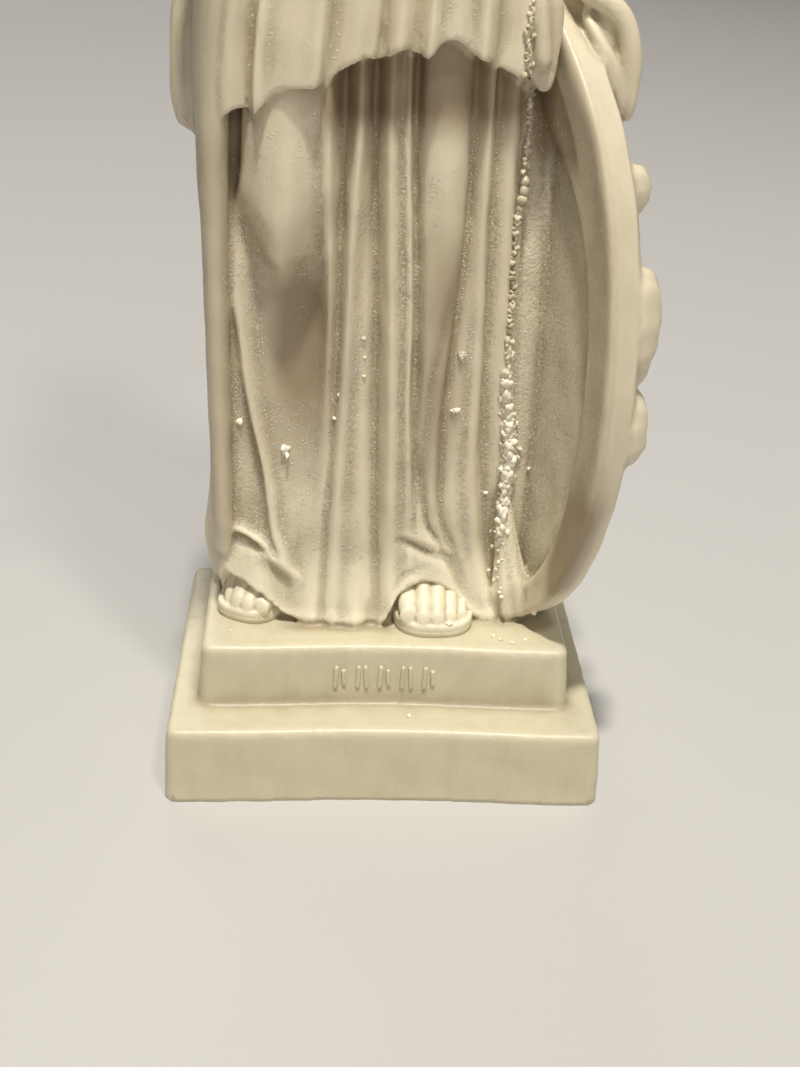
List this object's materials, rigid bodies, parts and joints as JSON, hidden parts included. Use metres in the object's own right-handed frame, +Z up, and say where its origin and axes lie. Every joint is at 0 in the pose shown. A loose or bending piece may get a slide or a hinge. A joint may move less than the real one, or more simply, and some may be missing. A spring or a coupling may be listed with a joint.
{
  "type": "athena statue",
  "caption": "Small cast statue of a helmeted goddess in a long pleated robe, her hand on the oval shield beside her, on a stepped rectangular plinth.",
  "frame": {"origin": "middle of the plinth's underside", "axes": "+Z up, -Y the way the figure faces, +X towards her shield"},
  "size_m": [0.0727, 0.0584, 0.25],
  "materials": {
    "cast_stone": "satin cream bonded stone with crumbly white specks, brown in the recesses"
  },
  "bodies": {
    "root": {"athena_statue": "cast_stone"}
  },
  "joints": []
}
